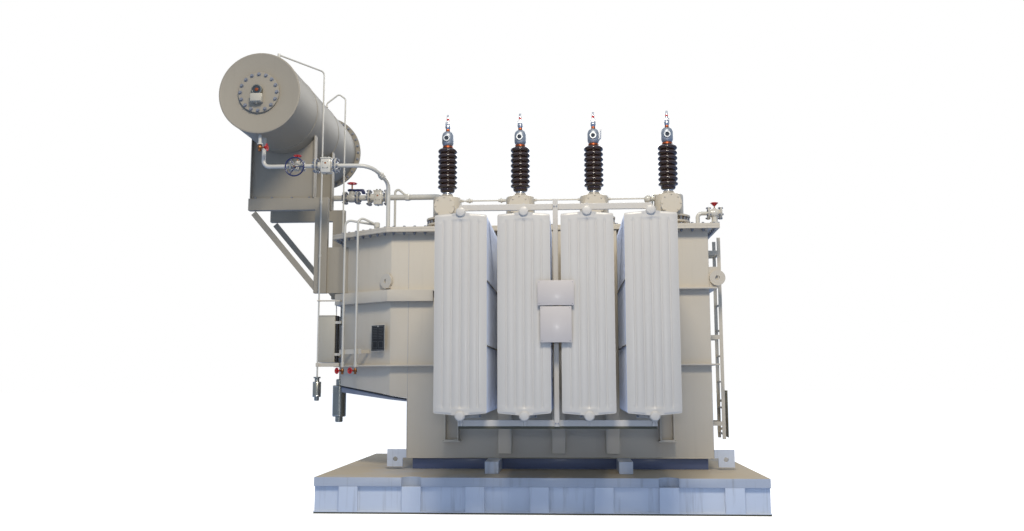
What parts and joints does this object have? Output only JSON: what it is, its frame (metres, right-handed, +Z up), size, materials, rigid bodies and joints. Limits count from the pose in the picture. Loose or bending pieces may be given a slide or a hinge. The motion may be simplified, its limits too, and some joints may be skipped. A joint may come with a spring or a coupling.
{
  "type": "power transformer",
  "caption": "Oil-filled power transformer on a steel plinth, with panel radiators, brown porcelain bushings, a raised conservator and hand valves that turn.",
  "frame": {"origin": "centre of the plinth's bottom face, on the floor", "axes": "+Z up, -Y towards the long side with the sign boards, -X towards the conservator"},
  "size_m": [6.1318, 5.198, 5.275],
  "materials": {
    "plinth_paint": "satin",
    "tank_paint": "satin",
    "radiator_paint": "satin",
    "conservator_paint": "satin",
    "pipe_paint": "satin",
    "brown_porcelain": "glossy",
    "cap_aluminium": "cast",
    "sign_board": "satin",
    "nameplate": "satin",
    "cabinet_paint": "satin",
    "conduit_rubber": "matt",
    "breather_steel": "brushed",
    "navy_ring": "gloss",
    "red_wheel": "gloss",
    "valve_grey": "painted",
    "guard_dark": "satin"
  },
  "bodies": {
    "transformer": {"base_beams": "tank_paint", "breather_pipes": "pipe_paint", "breathers": "breather_steel", "clamp_bar": "pipe_paint", "conduits": "conduit_rubber", "conservator_covers": "conservator_paint", "conservator_drain": "pipe_paint", "conservator_shell": "conservator_paint", "control_cabinet": "cabinet_paint", "drain_tubes": "pipe_paint", "gas_pipe": "pipe_paint", "gas_relays": "valve_grey", "hv_caps": "cap_aluminium", "hv_insulators": "brown_porcelain", "jacking_brackets": "tank_paint", "ladder": "tank_paint", "level_gauge": "cabinet_paint", "lifting_lugs": "tank_paint", "lv_bushings": "brown_porcelain", "main_pipe": "pipe_paint", "nameplate": "nameplate", "pipe_brackets": "tank_paint", "pipe_valves": "valve_grey", "plinth_cross_beams": "plinth_paint", "plinth_deck": "plinth_paint", "plinth_side_beams": "plinth_paint", "pulling_lugs": "tank_paint", "radiator_front_1": "radiator_paint", "radiator_front_2": "radiator_paint", "radiator_front_3": "radiator_paint", "radiator_front_4": "radiator_paint", "radiator_rear_1": "radiator_paint", "radiator_rear_2": "radiator_paint", "radiator_rear_3": "radiator_paint", "radiator_rear_4": "radiator_paint", "radiator_valves": "radiator_paint", "saddles": "conservator_paint", "sign_boards": "sign_board", "support_frames": "conservator_paint", "tank_cover": "tank_paint", "tank_ribs": "tank_paint", "tank_rim": "tank_paint", "tank_shell": "tank_paint", "tap_changer_head": "tank_paint", "tap_pipe": "pipe_paint", "tie_frames": "radiator_paint", "turrets": "tank_paint", "vent_valve": "pipe_paint", "wall_stiffeners": "tank_paint"},
    "main_valve_wheel": {"main_valve_wheel": "red_wheel"},
    "tap_valve_wheel": {"tap_valve_wheel": "red_wheel"},
    "tap_ring_wheel": {"tap_ring_wheel": "navy_ring"},
    "conservator_drain_wheel": {"conservator_drain_wheel": "red_wheel"},
    "drain_wheel_1": {"drain_wheel_1": "red_wheel"},
    "drain_wheel_2": {"drain_wheel_2": "red_wheel"},
    "vent_valve_wheel": {"vent_valve_wheel": "red_wheel"},
    "ladder_guard": {"ladder_guard": "guard_dark"},
    "main_valve_lever": {"main_valve_lever": "navy_ring"}
  },
  "joints": [
    {"name": "main_valve_turn", "type": "hinge", "parent": "transformer", "child": "main_valve_wheel", "pos_m": [-2.59, 0.76, 3.84], "axis": [0, 0, 1], "range_deg": [0, 1080]},
    {"name": "tap_valve_turn", "type": "hinge", "parent": "transformer", "child": "tap_valve_wheel", "pos_m": [-2.82, -1, 3.87], "axis": [0, 0, 1], "range_deg": [0, 1080]},
    {"name": "tap_ring_turn", "type": "hinge", "parent": "transformer", "child": "tap_ring_wheel", "pos_m": [-2.82, -1, 3.84], "axis": [0, -1, 0], "range_deg": [0, 1080]},
    {"name": "conservator_drain_turn", "type": "hinge", "parent": "transformer", "child": "conservator_drain_wheel", "pos_m": [-3.222, -1.15, 4.065], "axis": [1, 0, 0], "range_deg": [0, 1080]},
    {"name": "drain_1_turn", "type": "hinge", "parent": "transformer", "child": "drain_wheel_1", "pos_m": [-2.37633, -0.45866, 1.5], "axis": [-0.5719, -0.8203, 0], "range_deg": [0, 1080]},
    {"name": "drain_2_turn", "type": "hinge", "parent": "transformer", "child": "drain_wheel_2", "pos_m": [-2.18929, -0.58905, 1.5], "axis": [-0.5719, -0.8203, 0], "range_deg": [0, 1080]},
    {"name": "vent_valve_turn", "type": "hinge", "parent": "transformer", "child": "vent_valve_wheel", "pos_m": [2.069, -0.45, 3.347], "axis": [0, 0, 1], "range_deg": [0, 1080]},
    {"name": "ladder_guard_swing", "type": "hinge", "parent": "transformer", "child": "ladder_guard", "pos_m": [2.16, -0.045, 0.99], "axis": [0, 0, 1], "range_deg": [0, 110]},
    {"name": "main_valve_lever_swing", "type": "hinge", "parent": "transformer", "child": "main_valve_lever", "pos_m": [-2.59, 0.76, 3.946], "axis": [0, 0, 1], "range_deg": [0, 90]}
  ]
}
